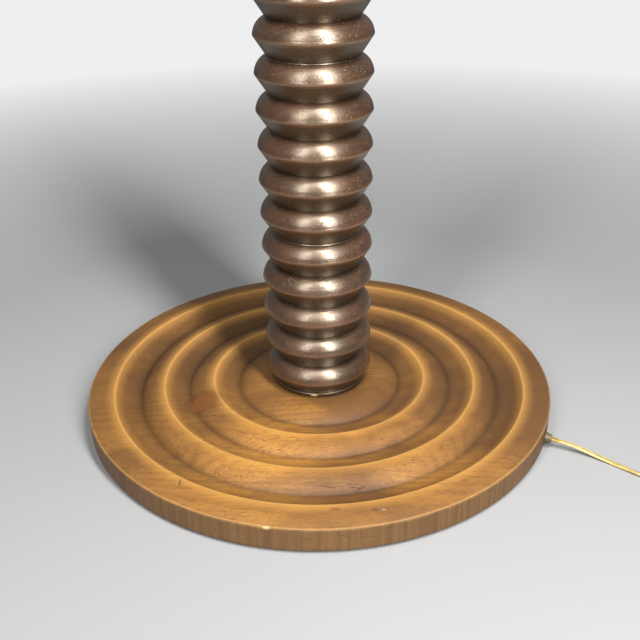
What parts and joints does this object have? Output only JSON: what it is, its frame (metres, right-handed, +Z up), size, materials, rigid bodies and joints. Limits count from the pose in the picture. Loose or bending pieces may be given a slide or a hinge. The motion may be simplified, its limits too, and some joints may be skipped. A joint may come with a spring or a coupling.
{
  "type": "candlestick floor lamp",
  "caption": "Floor lamp: ring-moulded round wood base, dark stacked-bead column, brass key-switch lampholder with harp, tapered cloth shade and a coiled lead with plug.",
  "frame": {"origin": "on the floor, under the middle of the base", "axes": "+Z up along the column, -Y towards the viewer of the picture, the lead leaves the base towards +X and slightly -Y"},
  "size_m": [0.6563, 0.4915, 1.6372],
  "materials": {
    "base_wood": "turned oak, clear lacquer",
    "column_wood": "turned hardwood, dark walnut stain, satin wax",
    "felt": "pressed felt",
    "steel": "zinc plated",
    "brass": "satin lacquered brass",
    "bushing": "moulded olive brown plastic",
    "flex": "clear gold parallel twin flex",
    "plug": "moulded gold brown plastic",
    "fibre": "fibre insulating sleeve",
    "phenolic": "moulded phenolic",
    "screw_metal": "rolled aluminium",
    "glass": "frosted bulb glass",
    "shade_cloth": "natural linen on a stiff liner",
    "shade_wire": "white enamelled wire"
  },
  "bodies": {
    "root": {"base_disc": "base_wood", "felt_pads": "felt", "column_lower": "column_wood", "column_middle": "column_wood", "column_upper": "column_wood", "column_collar": "column_wood", "threaded_pipe": "steel", "base_washer": "steel", "base_nut": "steel", "check_ring": "brass", "cord_straps": "steel", "cord_bushing": "bushing", "socket_cap": "brass", "socket_shell": "brass", "socket_liner": "fibre", "socket_block": "phenolic", "terminal_screws": "brass", "screw_shell": "screw_metal", "centre_contact": "brass", "harp_saddle": "brass", "harp_wire": "brass", "inner_flex": "flex", "flex_run": "flex", "flex_coil": "flex", "flex_tail": "flex", "plug_body": "plug", "plug_blades": "brass"},
    "key": {"switch_key": "brass"},
    "bulb": {"bulb_tip": "brass", "bulb_cup": "screw_metal", "bulb_glass": "glass"},
    "shade": {"shade": "shade_cloth", "shade_top_ring": "shade_wire", "shade_hub": "shade_wire", "shade_spokes": "shade_wire", "shade_bottom_ring": "shade_wire"},
    "finial": {"finial": "brass"},
    "sleeve_left": {"harp_sleeve_left": "brass"},
    "sleeve_right": {"harp_sleeve_right": "brass"}
  },
  "joints": [
    {"name": "key_turn", "type": "hinge", "parent": "root", "child": "key", "pos_m": [0, 0, 1.3897], "axis": [1, 0, 0], "continuous": true},
    {"name": "bulb_turn", "type": "hinge", "parent": "root", "child": "bulb", "pos_m": [0, 0, 1.4], "axis": [0, 0, 1], "continuous": true},
    {"name": "shade_swivel", "type": "hinge", "parent": "root", "child": "shade", "pos_m": [0, 0, 1.605], "axis": [0, 0, 1], "continuous": true},
    {"name": "finial_turn", "type": "hinge", "parent": "root", "child": "finial", "pos_m": [0, 0, 1.61], "axis": [0, 0, 1], "continuous": true},
    {"name": "sleeve_left_slide", "type": "slide", "parent": "root", "child": "sleeve_left", "axis": [0, 0, 1], "range_m": [0, 0.01]},
    {"name": "sleeve_right_slide", "type": "slide", "parent": "root", "child": "sleeve_right", "axis": [0, 0, 1], "range_m": [0, 0.01]}
  ]
}
